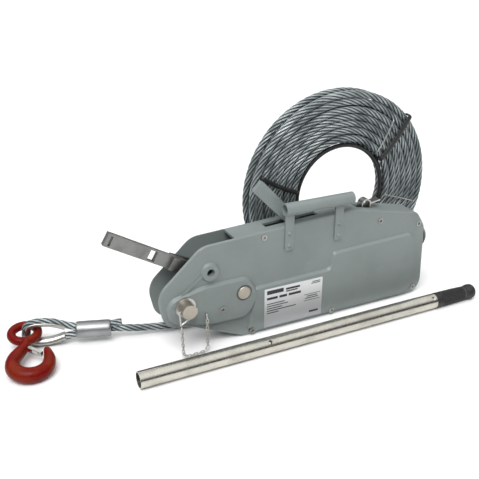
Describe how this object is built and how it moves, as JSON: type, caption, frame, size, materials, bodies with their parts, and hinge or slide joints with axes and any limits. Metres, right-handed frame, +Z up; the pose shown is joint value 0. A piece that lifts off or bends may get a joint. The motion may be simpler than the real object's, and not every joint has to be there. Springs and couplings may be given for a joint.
{
  "type": "wire rope puller",
  "caption": "Hand lever rope puller: flat steel casing with jaw mechanism, levers, anchor pin and carrying tube, with its handle, coiled wire rope and eye hook.",
  "frame": {"origin": "middle of the casing's flat base, on the floor", "axes": "+X along the casing from the anchor pin to the rope inlet, +Y away from the side with the label, +Z up"},
  "size_m": [1.0237, 0.2855, 0.4642],
  "materials": {
    "casing_paint": "grey hammered paint, semi-gloss",
    "dark_steel": "dark oiled steel",
    "bare_steel": "ground bare steel, lightly oxidised",
    "zinc": "bright zinc plate",
    "chrome": "polished",
    "bronze": "oiled bronze",
    "brass": "turned brass",
    "label": "etched plate",
    "rope": "galvanised strands, greased",
    "aluminium": "pressed, satin",
    "black_plastic": "matt",
    "black_rubber": "matt ribbed",
    "red_paint": "glossy red-orange, worn at edges"
  },
  "bodies": {
    "casing": {"near_shell": "casing_paint", "far_shell": "casing_paint", "casing_screws": "dark_steel", "shaft_bushes": "bronze", "rear_rope_guide": "casing_paint", "front_rope_guide": "dark_steel", "data_label": "label", "anchor_pin": "zinc", "anchor_washer": "zinc", "pin_clip": "zinc", "chain_staple": "zinc", "retaining_chain": "zinc", "carry_tube": "casing_paint", "carry_strap_front": "casing_paint", "carry_strap_rear": "casing_paint", "carry_rivets": "zinc", "rope_lead": "rope", "rope_coil": "rope", "rope_eye": "rope", "rope_tail": "rope", "ferrule": "aluminium", "thimble": "zinc", "coil_ring": "black_plastic", "coil_tie_left": "black_plastic", "coil_tie_right": "black_plastic"},
    "forward_lever": {"forward_lever": "bare_steel", "main_shaft": "bare_steel", "crank_plates": "dark_steel", "crank_pins": "bare_steel", "shear_pins": "brass"},
    "front_carriage": {"front_carriage": "dark_steel", "front_links": "dark_steel"},
    "rear_carriage": {"rear_carriage": "dark_steel", "rear_links": "dark_steel"},
    "front_upper_jaw": {"front_upper_jaw": "bare_steel"},
    "front_lower_jaw": {"front_lower_jaw": "bare_steel"},
    "rear_upper_jaw": {"rear_upper_jaw": "bare_steel"},
    "rear_lower_jaw": {"rear_lower_jaw": "bare_steel"},
    "release_lever": {"release_lever": "zinc"},
    "reverse_lever": {"reverse_lever": "casing_paint", "reverse_shaft": "bare_steel"},
    "handle": {"handle_tube": "chrome"},
    "handle_extension": {"inner_tube": "zinc", "handle_grip": "black_rubber"},
    "handle_button": {"lock_button": "zinc", "button_spring": "bare_steel"},
    "hook": {"hook": "red_paint", "latch_pin": "zinc"},
    "hook_latch": {"hook_latch": "zinc"}
  },
  "joints": [
    {"name": "lever_swing", "type": "hinge", "parent": "casing", "child": "forward_lever", "pos_m": [-0.22, 0, 0.108], "axis": [0, 1, 0], "range_deg": [-13, 42]},
    {"name": "front_carriage_slide", "type": "slide", "parent": "casing", "child": "front_carriage", "axis": [1, 0, 0], "range_m": [-0.0078, 0.025]},
    {"name": "rear_carriage_slide", "type": "slide", "parent": "casing", "child": "rear_carriage", "axis": [1, 0, 0], "range_m": [-0.025, 0.0078]},
    {"name": "release_slide", "type": "slide", "parent": "casing", "child": "release_lever", "axis": [1, 0, 0], "range_m": [-0.012, 0]},
    {"name": "front_upper_grip", "type": "slide", "parent": "front_carriage", "child": "front_upper_jaw", "axis": [0, 0, 1], "range_m": [-0.002, 0]},
    {"name": "front_lower_grip", "type": "slide", "parent": "front_carriage", "child": "front_lower_jaw", "axis": [0, 0, 1], "range_m": [0, 0.002]},
    {"name": "rear_upper_grip", "type": "slide", "parent": "rear_carriage", "child": "rear_upper_jaw", "axis": [0, 0, 1], "range_m": [-0.002, 0]},
    {"name": "rear_lower_grip", "type": "slide", "parent": "rear_carriage", "child": "rear_lower_jaw", "axis": [0, 0, 1], "range_m": [0, 0.002]},
    {"name": "reverse_swing", "type": "hinge", "parent": "casing", "child": "reverse_lever", "pos_m": [-0.07, 0, 0.208], "axis": [0, 1, 0], "range_deg": [-16, 55]},
    {"name": "handle_lift", "type": "slide", "parent": "casing", "child": "handle", "axis": [0, 0, 1], "range_m": [0, 0.3]},
    {"name": "handle_draw", "type": "slide", "parent": "handle", "child": "handle_extension", "axis": [1, 0, 0], "range_m": [0, 0.411]},
    {"name": "button_press", "type": "slide", "parent": "handle_extension", "child": "handle_button", "axis": [0, 0.6428, -0.766], "range_m": [0, 0.003], "stiffness_N_per_m": 400, "springref_m": -0.001},
    {"name": "hook_swing", "type": "hinge", "parent": "casing", "child": "hook", "pos_m": [-0.63489, 0.12672, 0.03303], "axis": [-0.0138, -0.1308, 0.9913], "range_deg": [-25, 25]},
    {"name": "latch_swing", "type": "hinge", "parent": "hook", "child": "hook_latch", "pos_m": [-0.63551, 0.07296, 0.02593], "axis": [0.0138, 0.1308, -0.9913], "range_deg": [0, 35], "stiffness_Nm_per_rad": 0.05, "springref_deg": -17.19}
  ],
  "couplings": [
    {"joint": "front_carriage_slide", "follows": "lever_swing", "m_per_rad": 0.034},
    {"joint": "rear_carriage_slide", "follows": "lever_swing", "m_per_rad": -0.034},
    {"joint": "front_upper_grip", "follows": "release_slide", "ratio": 0.16667},
    {"joint": "front_lower_grip", "follows": "release_slide", "ratio": -0.16667},
    {"joint": "rear_upper_grip", "follows": "release_slide", "ratio": 0.16667},
    {"joint": "rear_lower_grip", "follows": "release_slide", "ratio": -0.16667}
  ]
}
